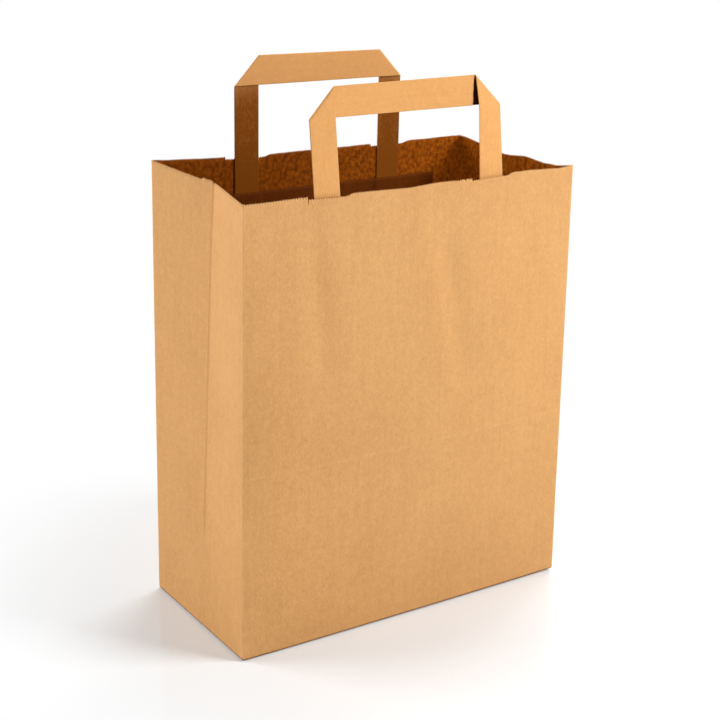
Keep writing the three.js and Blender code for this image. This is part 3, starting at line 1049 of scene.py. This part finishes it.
def add_surround(scene, strength):
    """An even surround that lights the bag and is plain white to the camera."""
    paint = Paint(bpy.data.worlds.new("surround"))
    light = paint.node("Background", {}, {"Color": (1, 1, 1, 1), "Strength": strength})
    white = paint.node("Background", {}, {"Color": (1, 1, 1, 1), "Strength": 1.0})
    mixed = paint.node(
        "MixShader", {}, {0: seen_directly(paint), 1: light.outputs[0], 2: white.outputs[0]}
    )
    paint.node("OutputWorld", {}, {"Surface": mixed.outputs[0]})
    scene.world = paint.owner


FLOOR_REACH = 12.0
FLOOR_DROP = 0.05 * MM
NEAR, FAR = 0.16, 0.34  # where the floor's own shading fades into white
WHITE_NEAR = 0.12  # share of white beside the bag


def add_floor(scene, floor_colour):
    """A pale, slightly glossy floor that keeps the shadow near the bag and fades into white around it."""
    corners = [(-1, -1), (1, -1), (1, 1), (-1, 1)]
    mesh = bpy.data.meshes.new("floor")
    places = [(x * FLOOR_REACH, y * FLOOR_REACH, -FLOOR_DROP) for x, y in corners]
    mesh.from_pydata(places, [], [(0, 1, 2, 3)])
    floor = bpy.data.objects.new("floor", mesh)
    scene.collection.objects.link(floor)
    paint = Paint(bpy.data.materials.new("floor_white"))
    place = paint.node("TexCoord", {}, {})
    distance = paint.term(
        "VectorMath", {"operation": "LENGTH"}, {0: place.outputs["Object"]}, "Value"
    )
    surface = paint.node(
        "BsdfPrincipled",
        {},
        {"Base Color": floor_colour, "Roughness": 0.06, "Specular IOR Level": 0.25},
    )
    white = paint.node("Emission", {}, {"Color": (1, 1, 1, 1), "Strength": 1.0})
    fade = (paint.rise(distance, NEAR, FAR) * (1 - WHITE_NEAR) + WHITE_NEAR) * seen_directly(paint)
    mixed = paint.node("MixShader", {}, {0: fade, 1: surface.outputs[0], 2: white.outputs[0]})
    paint.node("OutputMaterial", {}, {"Surface": mixed.outputs[0]})
    mesh.materials.append(paint.owner)


# Operators


def declare(piece, node):
    """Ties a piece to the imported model: it rides on the one body and stands for a node."""
    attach(piece, "root")
    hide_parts(node)


def both_handles(settings):
    return ((FRONT, settings.front_handle), (REAR, settings.rear_handle))


class CARRIERBAG_OT_fold_bag(Operator):
    """Fold the bag from its sheet, with gussets, base flaps, tube seam and cut rim"""

    bl_idname = "carrier_bag.fold_bag"
    bl_label = "Fold Bag"

    def execute(self, context):
        settings = context.scene.carrier_bag
        bag = settings.bag
        points, uv, faces = bag_sheet(bag, settings.tape, both_handles(settings))
        materials = [kraft_outside(bag, settings.colours), kraft_inside(bag, settings.colours)]
        piece = add_piece("bag_sheet", points, uv, faces, materials)
        thicken(piece, bag.paper, inner_material=1)
        declare(piece, "bag_body")
        flap = (bag.depth + bag.flap_lap) / 2
        mitres = 2 * flap * flap
        flat = (Folds(bag).end, bag.height + flap)
        flat[0] * flat[1] - mitres
        return {"FINISHED"}


class CARRIERBAG_OT_fold_handles(Operator):
    """Fold the two handles from flat tape and lay their legs on the panels"""

    bl_idname = "carrier_bag.fold_handles"
    bl_label = "Fold Handles"

    def execute(self, context):
        settings = context.scene.carrier_bag
        bag = settings.bag
        tape = settings.tape
        for side, handle in both_handles(settings):
            word = "front" if side == FRONT else "rear"
            points, uv, faces, dark = handle_tape(bag, tape, handle, side)
            whole = float(uv[:, 1].max())
            leg = tape.tail + tape.patch_below_rim + handle.rise - tape.width / 2
            material = tape_kraft(tape, settings.colours, f"{word}_tape_kraft", leg, whole)
            piece = add_piece(f"{word}_handle_tape", points, uv, faces, [material])
            # painted shade of the pocket, read by the tape's material
            pocket_shade = piece.data.attributes.new("pocket_shade", "FLOAT", "POINT")
            pocket_shade.data.foreach_set("value", dark.astype(np.float32))
            declare(piece, f"{word}_handle")
        return {"FINISHED"}


class CARRIERBAG_OT_glue_patches(Operator):
    """Lay the patches over the tails of the handles, inside the bag"""

    bl_idname = "carrier_bag.glue_patches"
    bl_label = "Glue Patches"

    def execute(self, context):
        settings = context.scene.carrier_bag
        tape = settings.tape
        material = patch_kraft(settings.colours)
        for side, handle in both_handles(settings):
            word = "front" if side == FRONT else "rear"
            points, uv, faces = patch_paper(settings.bag, tape, handle, side)
            piece = add_piece(f"{word}_patch_paper", points, uv, faces, [material])
            thicken(piece, tape.patch_thickness)
            declare(piece, f"{word}_patch")
        return {"FINISHED"}


class CARRIERBAG_OT_set_stage(Operator):
    """Set up the camera, the pale floor and the soft light"""

    bl_idname = "carrier_bag.set_stage"
    bl_label = "Set Stage"

    def execute(self, context):
        scene = context.scene
        stage = scene.carrier_bag.stage
        scene.view_settings.view_transform = "Standard"
        add_camera(scene)
        add_surround(scene, stage.surround)
        add_floor(scene, stage.floor)
        add_lamp(scene, "key", (0.9, -0.9, 1.1), (0, 0, 0.15), 0.7, stage.key)
        add_lamp(scene, "top", (1.2, 0.9, 1.8), (0, 0, 0.15), 1.3, stage.top)
        add_lamp(scene, "side", (-1.6, 1.2, 1.0), (0, 0, 0.15), 1.3, stage.side)
        return {"FINISHED"}


class VIEW3D_PT_carrier_bag(Panel):
    """Steps of the bag, in order"""

    bl_label = "Carrier Bag"
    bl_space_type = "VIEW_3D"
    bl_region_type = "UI"
    bl_category = "Carrier Bag"

    def draw(self, context):
        settings = context.scene.carrier_bag
        for operator in OPERATORS:
            self.layout.operator(operator.bl_idname)
        for part in settings.__annotations__:
            group = getattr(settings, part)
            for name in group.__annotations__:
                self.layout.prop(group, name)


GROUPS = (BagSizes, TapeSizes, FrontHandle, RearHandle, PaperColours, StageSettings, CarrierBag)
OPERATORS = (
    CARRIERBAG_OT_set_stage,
    CARRIERBAG_OT_fold_bag,
    CARRIERBAG_OT_fold_handles,
    CARRIERBAG_OT_glue_patches,
)
CLASSES = (*GROUPS, *OPERATORS, VIEW3D_PT_carrier_bag)


def register():
    for item in CLASSES:
        bpy.utils.register_class(item)
    bpy.types.Scene.carrier_bag = PointerProperty(type=CarrierBag)


def unregister():
    del bpy.types.Scene.carrier_bag
    for item in reversed(CLASSES):
        bpy.utils.unregister_class(item)


def main():
    register()
    bpy.ops.carrier_bag.set_stage()
    bpy.ops.carrier_bag.fold_bag()
    bpy.ops.carrier_bag.fold_handles()
    bpy.ops.carrier_bag.glue_patches()


if __name__ == "__main__":
    main()
